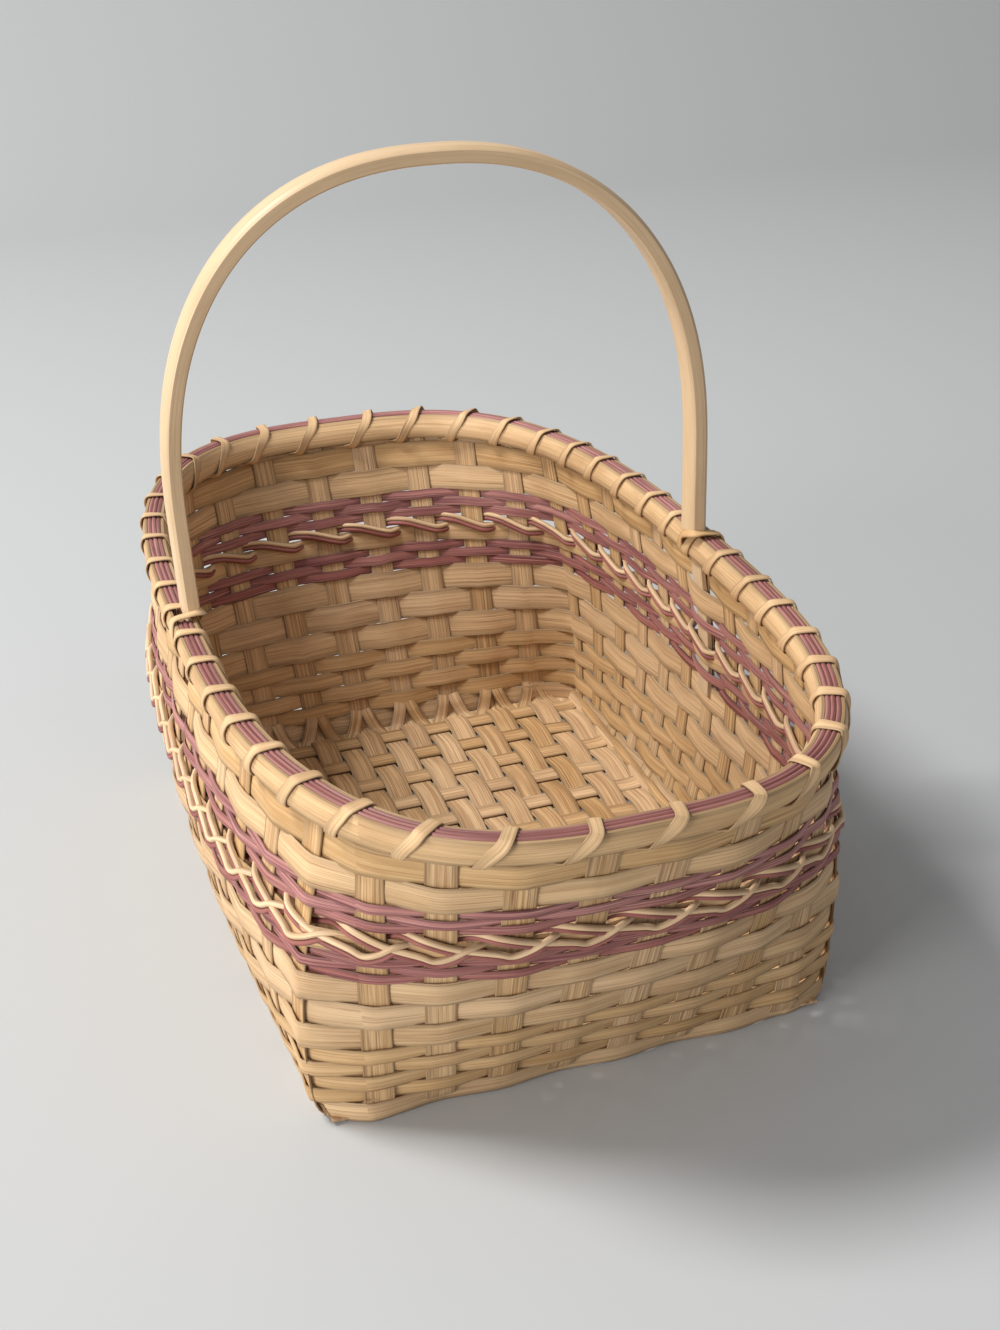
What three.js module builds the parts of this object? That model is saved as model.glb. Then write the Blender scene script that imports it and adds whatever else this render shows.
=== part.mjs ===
// A flat-reed basket with a rectangular woven base, flared walls, an oval lashed rim and a fixed hoop handle.
// Millimetres, +Z up, X across the basket, Y along it. The origin is under the middle of the base.
import * as THREE from "three";

// Reed sizes
const STAKE_WIDTH = 15.5;
const STAKE_THICK = 1.0;
const WEAVER_THICK = 0.8;
const NARROW_ROW = 9.3;
const WIDE_ROW = 15.5;
const DYED_ROW = 5.0;
const MIDDLE_ROW = 11;
const WALE_THICK = 2.2;
const WALE_PAIR = 4.4;
const WALE_SINGLE = 2.4;
const WALE_DROP = 6.3;
const LASH_THICK = 0.8;
const LASH_WIDTH = 5;
const LASH_CLEAR = 0.9;
const LASH_SAG = 1.1;
const LASH_FLARE = 0.9;
const LASH_TUCK = 0.7;
const LASH_RISE = 0.42;
const LASH_RISE_AT_HANDLE = -0.1;
const LASH_CROSSING = 0.04;
const FILLER_REED = 3.2;
const FILLER_END_CLEAR = 0.6;

// Gaps that woven reeds keep
const EDGE_CLEAR = 0.4;
const CLEAR = 0.25;
const WEAVE_CLEAR = 0.55;
const CORNER_CLEAR = 0.7;
const ROW_GAP = 0.4;
const STRIP_GAP = 0.375;
const CROSS_GAP = 16.25;
const FOOT_REACH = 3;
const CORNER_CUT = 17;

// How many of each
const MAINS = 8;
const CROSSINGS = 13;
const NARROW_ROWS = 5;
const WIDE_ROWS = 3;
const TOP_ROWS = 2;
const DYED_ROWS = 3;
const WALE_STRANDS = 3;

// Rim
const RIM_HALF_WIDTH = 152;
const RIM_HALF_LENGTH = 298;
const RIM_SQUARENESS = 2.92;
const RIM_HEIGHT = 16;
const RIM_THICK = 4;
const RIM_BEVEL = 1.4;
const STAKE_TOP_DROP = 2;
const SIDE_BULGE = 16;
const BULGE_REACH = 266;

// Handle
const HANDLE_WIDTH = 19;
const HANDLE_THICK = 9;
const HANDLE_CHAMFER = 2;
const HANDLE_HALF_SPAN = 154;
const HANDLE_SPRING_Z = 260;
const HANDLE_TOP_Z = 436;
const HANDLE_ROUNDNESS = 2.3;
const TAIL_WIDTH = 14;
const TAIL_THICK = 2;
const SHOULDER_STEP = 0.1;

// Fineness of the facets
const WALL_LEVELS = 4;
const CURVED_LEVELS = 7;
const TAIL_BOTTOM_LEVEL = 3;
const ARCH_STEPS = 16;
const OUTLINE_STEPS = 1440;
const TANGENT_REACH = 0.05;
const ARCH_TANGENT_REACH = 0.02;
const SHARP_TURN = THREE.MathUtils.degToRad(7);

// Base grid
const stripPitch = STAKE_WIDTH + STRIP_GAP;
const crossPitch = STAKE_WIDTH + CROSS_GAP;
const fillers = MAINS + 1;
const baseHalfWidth = ((MAINS + fillers) * stripPitch) / 2;
const baseHalfLength = (CROSSINGS * crossPitch) / 2;
const uprights = 2 * (MAINS + CROSSINGS);
const frontMiddle = (MAINS - 1) / 2;
const handleRight = MAINS + (CROSSINGS - 1) / 2;
const handleLeft = handleRight + uprights / 2;

// Weave amplitudes: how far a reed's middle stands off the middle of the reeds that it passes
const seatReach = STAKE_WIDTH / 2 + EDGE_CLEAR;
const shortestPitch = Math.min(crossPitch, 2 * stripPitch);
const crossShare = seatReach / (shortestPitch - seatReach);
const spread = (seat) => (seat * (1 + crossShare)) / (1 - crossShare);
const wallSeat = (STAKE_THICK + WEAVER_THICK) / 2 + WEAVE_CLEAR;
const wallSwing = spread(wallSeat);
const tailInner = STAKE_THICK / 2 + CLEAR + TAIL_THICK;
const tailSwing = tailInner + WEAVE_CLEAR + WEAVER_THICK / 2;
const baseSeat = STAKE_THICK + CLEAR;
const baseSwing = spread(baseSeat);
const baseMiddleZ = baseSwing + STAKE_THICK / 2;

// Middle of the wall at the base, clear of the outermost strip for the rows that pass inside
const wallX = baseHalfWidth + wallSwing + WEAVER_THICK / 2 + CLEAR;
const wallY = baseHalfLength + STAKE_THICK / 2 + CLEAR;

// Heights of the rows, from the base up
const rows = [];
let stackZ = baseMiddleZ + STAKE_THICK / 2 + CLEAR;
function stackRows(prefix, first, count, height, finish) {
  for (let i = 0; i < count; i++) {
    const name = count > 1 ? `${prefix}_${first + i}` : prefix;
    rows.push({ name, low: stackZ, high: stackZ + height, finish });
    stackZ += height + ROW_GAP;
  }
}
stackRows("narrow_row", 1, NARROW_ROWS, NARROW_ROW, "natural");
stackRows("wide_row", NARROW_ROWS + 1, WIDE_ROWS, WIDE_ROW, "natural");
stackRows("lower_dyed_row", 1, DYED_ROWS, DYED_ROW, "dyed");
stackRows("middle_row", 1, 1, MIDDLE_ROW, "natural");
const waleLow = stackZ;
stackZ = waleLow + 2 * WALE_SINGLE + 5 * CLEAR;
const waleHigh = stackZ - CLEAR;
stackRows("upper_dyed_row", 1, DYED_ROWS, DYED_ROW, "dyed");
stackRows("top_row", 1, TOP_ROWS, WIDE_ROW, "natural");
const lashZ = stackZ + LASH_SAG + LASH_THICK / 2;
const rimLow = lashZ + LASH_THICK / 2 + LASH_CLEAR;
const rimHigh = rimLow + RIM_HEIGHT;
const rimZ = (rimLow + rimHigh) / 2;
const stakeTop = rimHigh - STAKE_TOP_DROP;
rows.push({ name: "rim_row", low: rimLow, high: stakeTop - ROW_GAP, finish: "natural" });

// Where the wall turns, a reed that passes outside stands off more, so that it still clears the stake's edges
const turnLift = (turn) => (seatReach * Math.tan(turn / 2)) / (1 - crossShare);

// Heights at which a stake bends, from the first row to its top: the last bend lies just under the rim
const stackStart = rows[0].low;
function bendHeights(levels) {
  const heights = [];
  for (let i = 0; i < levels; i++) heights.push(stackStart + ((rimLow - stackStart) * i) / (levels - 1));
  return [...heights, stakeTop];
}
const tailHeights = bendHeights(CURVED_LEVELS).slice(TAIL_BOTTOM_LEVEL, -1);
const tailBottomZ = tailHeights[0];

// The rim hoops stand clear of the widest thing between them
const rowReach = wallSwing + turnLift(SHARP_TURN) + WEAVER_THICK / 2;
const outerGap = rowReach + CLEAR;
const innerGap = tailSwing + WEAVER_THICK / 2 + CLEAR;

// Outline of the rim, stepped off by arc length from the middle of the front
const outline = [];
for (let i = 0; i <= OUTLINE_STEPS; i++) {
  const angle = -Math.PI / 2 + (2 * Math.PI * i) / OUTLINE_STEPS;
  const power = 2 / RIM_SQUARENESS;
  const c = Math.cos(angle);
  const s = Math.sin(angle);
  const x = RIM_HALF_WIDTH * Math.sign(c) * Math.abs(c) ** power;
  const y = RIM_HALF_LENGTH * Math.sign(s) * Math.abs(s) ** power;
  const before = outline[i - 1];
  const run = before ? before.run + Math.hypot(x - before.x, y - before.y) : 0;
  outline.push({ x, y, run });
}
const rimLength = outline[OUTLINE_STEPS].run;

function rimPoint(place) {
  const turns = (place - frontMiddle) / uprights;
  const run = (turns - Math.floor(turns)) * rimLength;
  let low = 0;
  let high = OUTLINE_STEPS;
  while (high - low > 1) {
    const middle = (low + high) >> 1;
    if (outline[middle].run <= run) low = middle;
    else high = middle;
  }
  const a = outline[low];
  const b = outline[high];
  const t = (run - a.run) / (b.run - a.run);
  return new THREE.Vector2(a.x + (b.x - a.x) * t, a.y + (b.y - a.y) * t);
}

function rimTangent(place) {
  return rimPoint(place + TANGENT_REACH).sub(rimPoint(place - TANGENT_REACH)).normalize();
}

// Where each upright leaves the base, and the way its wall runs there
const feet = [];
for (let i = 0; i < MAINS; i++) feet.push([(2 * i - (MAINS - 1)) * stripPitch, -wallY, 1, 0]);
for (let i = 0; i < CROSSINGS; i++) feet.push([wallX, (i - (CROSSINGS - 1) / 2) * crossPitch, 0, 1]);
for (let i = 0; i < uprights / 2; i++) feet.push(feet[i].map((value) => -value));

function footAt(place) {
  const k = Math.floor(place);
  const a = feet[((k % uprights) + uprights) % uprights];
  const b = feet[(((k + 1) % uprights) + uprights) % uprights];
  const t = place - k;
  const point = new THREE.Vector2(a[0] + (b[0] - a[0]) * t, a[1] + (b[1] - a[1]) * t);
  const tangent = new THREE.Vector2(a[2] + (b[2] - a[2]) * t, a[3] + (b[3] - a[3]) * t);
  return { point, tangent: tangent.normalize() };
}

// The long walls belly outward between the base and the rim, most of all in their middle
function bellyAt(point, normal, z) {
  const rise = Math.min(1, Math.max(0, z) / rimLow);
  const fade = Math.max(0, 1 - (point.y / BULGE_REACH) ** 2);
  return SIDE_BULGE * 4 * rise * (1 - rise) * Math.abs(normal.x) * fade;
}

// A point of the wall: place counts uprights round the basket, shift runs along the wall, off is outward
function wallPoint(place, z, off = 0, shift = 0) {
  const rise = Math.max(0, z) / rimZ;
  const foot = footAt(place);
  const point = foot.point.clone().lerp(rimPoint(place), rise);
  const tangent = foot.tangent.clone().lerp(rimTangent(place), Math.min(rise, 1)).normalize();
  const normal = new THREE.Vector2(tangent.y, -tangent.x);
  point.addScaledVector(normal, off + bellyAt(point, normal, z)).addScaledVector(tangent, shift);
  return new THREE.Vector3(point.x, point.y, z);
}

function turnAt(k, z) {
  const a = wallPoint(k, z).sub(wallPoint(k - 1, z));
  const b = wallPoint(k + 1, z).sub(wallPoint(k, z));
  return a.angleTo(b);
}

// A hoop follows a sharp turn with a short flat across the stake
const shiftsAt = (k, z) => (turnAt(k, z) > SHARP_TURN ? [-seatReach, seatReach] : [0]);

// How much further a row stands off where the wall turns a little, or just before a sharp turn
function rowLift(k, z) {
  const besideCorner = turnAt(k - 1, z) > SHARP_TURN || turnAt(k + 1, z) > SHARP_TURN;
  return Math.min(turnLift(turnAt(k, z)) + (besideCorner ? CORNER_CLEAR / 2 : 0), turnLift(SHARP_TURN));
}

// A solid through a list of sections that have equally many corners
function loft(sections, closed) {
  const corners = sections[0].length;
  const positions = sections.flat().flatMap((p) => [p.x, p.y, p.z]);
  const index = [];
  const spans = closed ? sections.length : sections.length - 1;
  for (let i = 0; i < spans; i++) {
    const a = i * corners;
    const b = ((i + 1) % sections.length) * corners;
    for (let j = 0; j < corners; j++) {
      const n = (j + 1) % corners;
      if (2 * j < corners) index.push(a + j, a + n, b + n, a + j, b + n, b + j);
      else index.push(a + j, a + n, b + j, a + n, b + n, b + j);
    }
  }
  if (!closed) {
    const end = (sections.length - 1) * corners;
    for (let j = 1; j < corners - 1; j++) {
      index.push(0, j + 1, j);
      index.push(end, end + j, end + j + 1);
    }
  }
  let volume = 0;
  const [a, b, c] = [new THREE.Vector3(), new THREE.Vector3(), new THREE.Vector3()];
  for (let i = 0; i < index.length; i += 3) {
    a.fromArray(positions, 3 * index[i]);
    b.fromArray(positions, 3 * index[i + 1]);
    c.fromArray(positions, 3 * index[i + 2]);
    volume += a.dot(b.cross(c));
  }
  if (volume < 0) index.reverse();
  const geometry = new THREE.BufferGeometry();
  geometry.setAttribute("position", new THREE.Float32BufferAttribute(positions, 3));
  geometry.setIndex(index);
  geometry.computeVertexNormals();
  return geometry;
}

// Four corners round a point, from its width and thickness directions as half lengths
function flatSection(point, across, through) {
  return [
    point.clone().sub(across).sub(through),
    point.clone().add(across).sub(through),
    point.clone().add(across).add(through),
    point.clone().sub(across).add(through),
  ];
}

// A flat reed in the wall between two heights
function wallSection(place, shift, off, low, high, thick) {
  return [
    wallPoint(place, low, off - thick / 2, shift),
    wallPoint(place, low, off + thick / 2, shift),
    wallPoint(place, high, off + thick / 2, shift),
    wallPoint(place, high, off - thick / 2, shift),
  ];
}

// One start-stop row: over one upright and under the next, laid flat where the wall turns and at the handle
function wovenRow(row, index) {
  const sections = [];
  const middle = (row.low + row.high) / 2;
  const hasTail = row.high > tailBottomZ;
  const add = (k, shift, off) => sections.push(wallSection(k, shift, off, row.low, row.high, WEAVER_THICK));
  for (let k = 0; k < uprights; k++) {
    const outside = (k + index) % 2 === 0;
    const toHandle = Math.min(Math.abs(k - handleRight), Math.abs(k - handleLeft));
    const turn = turnAt(k, middle);
    if (outside && turn > SHARP_TURN) {
      add(k, -seatReach, wallSeat + CORNER_CLEAR);
      add(k, seatReach, wallSeat + CORNER_CLEAR);
    } else if (outside && toHandle === 1 && hasTail) {
      add(k, -seatReach, wallSeat);
      add(k, seatReach, wallSeat);
    } else if (outside) {
      add(k, 0, wallSwing + rowLift(k, middle));
    } else if (toHandle === 0 && hasTail) {
      add(k, -seatReach, -tailSwing);
      add(k, seatReach, -tailSwing);
    } else add(k, 0, -wallSwing - (turn > SHARP_TURN ? CORNER_CLEAR : rowLift(k, middle)));
  }
  return loft(sections, true);
}

// One wale strand: behind one upright, then over two, each strand one upright on from the last
function waleStrand(start) {
  const sections = [];
  const tuckZ = waleLow + WALE_SINGLE / 2;
  const exitZ = waleHigh - WALE_SINGLE / 2;
  const lowZ = waleLow - WALE_DROP;
  const middleZ = waleLow - CLEAR - WALE_PAIR / 2;
  const past = seatReach * (1 + crossShare);
  const near = outerGap + WALE_THICK / 2;
  const far = near + WALE_THICK + WEAVE_CLEAR;
  const add = (k, shift, off, z, height) => {
    sections.push(wallSection(k % uprights, shift, off, z - height / 2, z + height / 2, WALE_THICK));
  };
  for (let k = start; k < start + uprights; k += 3) {
    const tail = k % uprights === handleRight || k % uprights === handleLeft;
    const corner = turnAt(k % uprights, waleLow) > SHARP_TURN ? CORNER_CLEAR : 0;
    const behind = -((tail ? tailInner : STAKE_THICK / 2) + corner + WEAVE_CLEAR + WALE_THICK / 2);
    add(k, -seatReach, behind, tuckZ, WALE_SINGLE);
    add(k, seatReach, behind, exitZ, WALE_SINGLE);
    add(k + 1, -seatReach, near, exitZ, WALE_SINGLE);
    add(k + 1, past, near, middleZ, WALE_PAIR);
    add(k + 2, 0, far, lowZ, WALE_PAIR);
    add(k + 2, past, far, tuckZ, WALE_SINGLE);
  }
  return loft(sections, true);
}

// A lengthwise strip of the base, over and under the crosswise stakes, flat on the ground in a few places
function stripPath(x, parity) {
  const path = [];
  for (let j = 0; j < CROSSINGS; j++) {
    const y = (j - (CROSSINGS - 1) / 2) * crossPitch;
    const over = (j + parity) % 2 === 0;
    const foot = !over && (j < 2 || j > CROSSINGS - 3 || Math.abs(2 * j + 1 - CROSSINGS) < 2);
    if (foot) path.push([x, y - FOOT_REACH, baseMiddleZ - baseSwing]);
    path.push([x, y + (foot ? FOOT_REACH : 0), baseMiddleZ + (over ? baseSwing : -baseSwing)]);
  }
  return path.map((p) => new THREE.Vector3(...p));
}

const halfWidth = STAKE_WIDTH / 2;
const upHalf = new THREE.Vector3(0, 0, STAKE_THICK / 2);

// The upright part of a stake, from its bend at the base to its top
function uprightSections(k) {
  const sections = [];
  const inLongWall = k % (uprights / 2) >= MAINS;
  const levels = inLongWall || turnAt(k, rimZ) > SHARP_TURN ? CURVED_LEVELS : WALL_LEVELS;
  for (const z of [baseMiddleZ, ...bendHeights(levels)]) {
    const bend = z === baseMiddleZ ? STAKE_THICK / 2 : 0;
    sections.push([
      wallPoint(k, z + bend, -STAKE_THICK / 2, -halfWidth),
      wallPoint(k, z + bend, -STAKE_THICK / 2, halfWidth),
      wallPoint(k, z - bend, STAKE_THICK / 2, halfWidth),
      wallPoint(k, z - bend, STAKE_THICK / 2, -halfWidth),
    ]);
  }
  return sections;
}

// The corner order of the base section is left-under, right-under, right-over, left-over
const turnFront = ([a, b, c, d]) => [d, c, b, a];
const turnBack = ([a, b, c, d]) => [c, d, a, b];

function lengthwiseStake(i) {
  const x = feet[i][0];
  const across = new THREE.Vector3(halfWidth, 0, 0);
  const front = uprightSections(i).reverse();
  const back = uprightSections(uprights / 2 + MAINS - 1 - i);
  const base = stripPath(x, 1).map((p) => flatSection(p, across, upHalf));
  return loft([...front.map(turnFront), ...base, ...back.map(turnBack)], false);
}

function baseFiller(i) {
  const x = (2 * i - MAINS) * stripPitch;
  const across = new THREE.Vector3(halfWidth, 0, 0);
  const outermost = i === 0 || i === fillers - 1;
  const edge = baseHalfLength - CLEAR;
  const end = outermost ? edge - CORNER_CUT : edge;
  const lastCrossing = baseHalfLength - crossPitch / 2;
  const endZ = baseMiddleZ + (baseSwing * (edge - end)) / (edge - lastCrossing);
  const path = stripPath(x, 0);
  path.unshift(new THREE.Vector3(x, -end, endZ));
  path.push(new THREE.Vector3(x, end, endZ));
  return loft(path.map((p) => flatSection(p, across, upHalf)), false);
}

function crosswiseStake(j) {
  const right = uprightSections(MAINS + j);
  const left = uprightSections(uprights / 2 + MAINS + CROSSINGS - 1 - j).reverse();
  return loft([...left.map(turnFront), ...right.map(turnBack)], false);
}

// A rim hoop: flat against the wall, rounded on the face that shows
function rimHoop(side, gap) {
  const sections = [];
  for (let k = 0; k < uprights; k++) {
    for (const shift of shiftsAt(k, rimZ)) {
      const at = (off, z) => wallPoint(k, z, side * off, shift);
      sections.push([
        at(gap, rimLow),
        at(gap + RIM_THICK - RIM_BEVEL, rimLow),
        at(gap + RIM_THICK, rimZ),
        at(gap + RIM_THICK - RIM_BEVEL, rimHigh),
        at(gap, rimHigh),
      ]);
    }
  }
  return loft(sections, true);
}

// A dyed round reed laid between the hoops from one side of the handle to the other
function rimFiller(from, off) {
  const sections = [];
  const radius = FILLER_REED / 2;
  const z = stakeTop + CLEAR + radius;
  const inset = HANDLE_WIDTH / 2 + FILLER_END_CLEAR;
  const add = (k, shift) => {
    const ring = [];
    for (let i = 0; i < 4; i++) {
      const angle = (2 * Math.PI * (i + 0.5)) / 4;
      ring.push(wallPoint(k % uprights, z + radius * Math.sin(angle), off + radius * Math.cos(angle), shift));
    }
    sections.push(ring);
  };
  add(from, inset);
  for (let k = from + 1; k < from + uprights / 2; k++) {
    for (const shift of shiftsAt(k, rimZ)) add(k, shift);
  }
  add(from + uprights / 2, -inset);
  return loft(sections, false);
}

// One flat reed that wraps both hoops once to every upright, slanting as it rises
function rimLashing() {
  const half = LASH_THICK / 2;
  const top = Math.max(stakeTop + CLEAR + FILLER_REED, rimHigh) + LASH_CLEAR + half;
  const outer = outerGap + RIM_THICK + LASH_CLEAR + half;
  const inner = -(innerGap + RIM_THICK + LASH_CLEAR + half);
  const stations = [];
  for (let k = 0; k < uprights; k++) {
    const beforeHandle = k + 1 === handleRight || k + 1 === handleLeft;
    const rise = beforeHandle ? LASH_RISE_AT_HANDLE : LASH_RISE;
    stations.push({ place: k + 0.5, off: outer + LASH_FLARE, z: lashZ, out: 1, up: -1 });
    stations.push({ place: k + 0.5 + rise, off: outer - LASH_TUCK, z: top, out: 1, up: 1 });
    stations.push({ place: k + 0.5 + LASH_CROSSING + rise, off: inner + LASH_TUCK, z: top, out: -1, up: 1 });
    stations.push({ place: k + 1.5, off: inner - LASH_FLARE, z: lashZ, out: -1, up: -1 });
  }
  const points = stations.map((s) => wallPoint(s.place, s.z, s.off));
  const sections = stations.map((s, i) => {
    const before = points[(i + points.length - 1) % points.length];
    const after = points[(i + 1) % points.length];
    const along = after.clone().sub(before).normalize();
    const outward = wallPoint(s.place, s.z, s.off + 1).sub(points[i]).multiplyScalar(s.out);
    const normal = outward.add(new THREE.Vector3(0, 0, s.up)).normalize();
    const across = new THREE.Vector3().crossVectors(along, normal).normalize();
    across.multiplyScalar(LASH_WIDTH / 2);
    normal.multiplyScalar(half * Math.SQRT2);
    return flatSection(points[i], across, normal);
  });
  return loft(sections, true);
}

// The handle: a bent hoop with a shoulder on the inner rim hoop and a thin tail behind it
function handle() {
  const profile = (width, thick, chamfer) => {
    const w = width / 2;
    const t = thick / 2;
    const c = chamfer;
    const front = [[w, c - t], [w, t - c], [w - c, t], [c - w, t]];
    return [...front, ...front.map(([a, b]) => [-a, -b])];
  };
  const leg = profile(HANDLE_WIDTH, HANDLE_THICK, HANDLE_CHAMFER);
  const tail = profile(TAIL_WIDTH, TAIL_THICK, TAIL_THICK / 6);
  const shoulderZ = rimHigh + CLEAR;
  const tailOff = -(tailInner - TAIL_THICK / 2);
  const legOff = -(tailInner - TAIL_THICK + HANDLE_THICK / 2);
  const half = [];
  for (const z of [...tailHeights, shoulderZ - SHOULDER_STEP]) {
    half.push({ x: wallPoint(handleRight, z, tailOff).x, z, angle: 0, shape: tail });
  }
  half.push({ x: wallPoint(handleRight, shoulderZ, legOff).x, z: shoulderZ, angle: 0, shape: leg });
  const springX = HANDLE_HALF_SPAN - HANDLE_THICK / 2;
  const rise = HANDLE_TOP_Z - HANDLE_THICK / 2 - HANDLE_SPRING_Z;
  const power = 2 / HANDLE_ROUNDNESS;
  const arch = (t) => ({
    x: springX * Math.cos(t) ** power,
    z: HANDLE_SPRING_Z + rise * Math.sin(t) ** power,
  });
  const quarter = ARCH_STEPS / 2;
  for (let i = 0; i < quarter; i++) {
    const t = (Math.PI / 2) * (i / quarter);
    const p = arch(t);
    const q = arch(Math.min(t + ARCH_TANGENT_REACH, Math.PI / 2 - 1e-6));
    const angle = i === 0 ? 0 : Math.atan2(p.x - q.x, q.z - p.z);
    half.push({ ...p, angle, shape: leg });
  }
  const top = { x: 0, z: HANDLE_SPRING_Z + rise, angle: Math.PI / 2, shape: leg };
  const mirrored = half.map((s) => ({ ...s, x: -s.x, angle: Math.PI - s.angle })).reverse();
  const sections = [...half, top, ...mirrored].map(({ x, z, angle, shape }) => {
    const outX = Math.cos(angle);
    const outZ = Math.sin(angle);
    return shape.map(([w, t]) => new THREE.Vector3(x + t * outX, w, z + t * outZ));
  });
  return loft(sections, false);
}

const FINISHES = {
  natural: { color: 0xc9a877, roughness: 0.7, metalness: 0 },
  dyed: { color: 0x8d5560, roughness: 0.75, metalness: 0 },
  handle: { color: 0xd9bd8e, roughness: 0.55, metalness: 0 },
};

const basket = new THREE.Group();
function addPiece(name, geometry, finish) {
  const mesh = new THREE.Mesh(geometry, new THREE.MeshStandardMaterial(FINISHES[finish]));
  mesh.name = name;
  basket.add(mesh);
}

for (let i = 0; i < MAINS; i++) addPiece(`lengthwise_stake_${i + 1}`, lengthwiseStake(i), "natural");
for (let i = 0; i < fillers; i++) addPiece(`base_filler_${i + 1}`, baseFiller(i), "natural");
for (let j = 0; j < CROSSINGS; j++) addPiece(`crosswise_stake_${j + 1}`, crosswiseStake(j), "natural");
rows.forEach((row, i) => addPiece(row.name, wovenRow(row, i), row.finish));
for (let i = 0; i < WALE_STRANDS; i++) addPiece(`wale_strand_${i + 1}`, waleStrand(i), "natural");
addPiece("outer_rim_hoop", rimHoop(1, outerGap), "natural");
addPiece("inner_rim_hoop", rimHoop(-1, innerGap), "natural");
const outerReed = outerGap - CLEAR - FILLER_REED / 2;
const innerReed = -(innerGap - CLEAR - FILLER_REED / 2);
addPiece("rim_filler_outer_back", rimFiller(handleRight, outerReed), "dyed");
addPiece("rim_filler_inner_back", rimFiller(handleRight, innerReed), "dyed");
addPiece("rim_filler_outer_front", rimFiller(handleLeft, outerReed), "dyed");
addPiece("rim_filler_inner_front", rimFiller(handleLeft, innerReed), "dyed");
addPiece("rim_lashing", rimLashing(), "natural");
addPiece("handle", handle(), "handle");

export default basket;
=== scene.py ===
"""A flat-reed market basket: woven base, flared walls, dyed bands, lashed rim, bent handle."""

import logging
import math
from dataclasses import dataclass, field
from enum import Enum

import bmesh
import bpy
import numpy as np
from bpy.types import ID, Material, Node, NodeSocket, NodeTree, Object
from mathutils import Matrix, Vector


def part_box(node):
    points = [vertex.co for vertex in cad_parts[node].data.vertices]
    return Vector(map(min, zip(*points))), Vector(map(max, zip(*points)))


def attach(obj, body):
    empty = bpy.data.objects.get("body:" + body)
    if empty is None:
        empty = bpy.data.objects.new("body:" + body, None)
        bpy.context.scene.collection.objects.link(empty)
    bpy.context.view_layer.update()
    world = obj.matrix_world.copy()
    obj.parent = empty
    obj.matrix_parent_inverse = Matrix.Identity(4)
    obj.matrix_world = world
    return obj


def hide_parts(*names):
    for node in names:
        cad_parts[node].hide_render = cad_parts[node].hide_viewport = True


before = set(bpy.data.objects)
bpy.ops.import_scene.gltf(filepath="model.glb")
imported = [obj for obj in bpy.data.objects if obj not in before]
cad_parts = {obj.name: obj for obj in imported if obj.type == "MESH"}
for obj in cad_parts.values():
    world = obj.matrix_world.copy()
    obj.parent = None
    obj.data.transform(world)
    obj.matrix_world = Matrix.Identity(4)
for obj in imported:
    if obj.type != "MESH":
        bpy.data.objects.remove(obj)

LOG = logging.getLogger("basket")
MM = 0.001
TINY = 1e-9
SHORTEST_SPAN = 1e-6
SEED = 41
VERTEX_LAYERS = ("tone", "grain", "edge")

Array = np.ndarray
Triple = tuple[float, float, float]
Numbers = float | Array
Source = NodeSocket | float | tuple[float, ...]


class Finish(Enum):
    """The record's material slots, one for each kind of surface."""

    NATURAL = "natural_reed"
    DYED = "dyed_reed"
    HANDLE = "handle_wood"


@dataclass(frozen=True)
class ReedSizes:
    """Sizes that the weaving needs and the frame's boxes don't tell, in millimetres."""

    stake_width: float = 15.5
    stake_thick: float = 1.0
    stake_crown: float = 0.12
    weaver_thick: float = 0.8
    strip_pitch: float = 15.875
    cross_pitch: float = 31.75
    mains: int = 8
    fillers: int = 9
    crossings: int = 13
    rim_half_width: float = 153.0
    rim_half_length: float = 299.0
    rim_squareness: float = 2.92
    rim_thick: float = 4.0
    left_bulge: float = 20.0
    right_bulge: float = 13.0
    bulge_power: float = 0.9
    bulge_reach: float = 300.0
    wall_swing: float = 1.9
    row_seat: float = 1.3
    base_swing: float = 2.1
    wale_rod: float = 3.2
    lash_width: float = 6.5
    lash_thick: float = 0.8
    tail_thick: float = 3.2

    @property
    def uprights(self) -> int:
        """How many stakes stand round the wall."""
        return 2 * (self.mains + self.crossings)

    @property
    def handle_right(self) -> int:
        """The upright that the handle's right leg stands at."""
        return self.mains + (self.crossings - 1) // 2

    @property
    def handle_left(self) -> int:
        """The upright that the handle's left leg stands at."""
        return self.handle_right + self.uprights // 2


def box_heights(node: str) -> tuple[float, float]:
    """Lowest and highest point of a CAD node, in millimetres."""
    low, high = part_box(node)
    return low.z / MM, high.z / MM


def unit(vectors: Array) -> Array:
    """Vectors at length one, along the array's last axis."""
    return vectors / np.maximum(np.linalg.norm(vectors, axis=-1, keepdims=True), TINY)


def distances(points: Array) -> Array:
    """Distance run from the first point to each, along rows of points."""
    return np.concatenate([[0], np.cumsum(np.linalg.norm(np.diff(points, axis=0), axis=1))])


def rows_of(x: Numbers, y: Numbers, z: Numbers) -> Array:
    """Rows of points or directions, where one number may stand for a whole column."""
    return np.stack(np.broadcast_arrays(x, y, z), -1)


def travel(middle: Array, closed: bool) -> Array:
    """Direction of travel at each place of a run, or of a ring where it is closed."""
    ring = np.roll(middle, -1, 0) - np.roll(middle, 1, 0)
    return unit(ring if closed else np.gradient(middle, axis=0))


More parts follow.
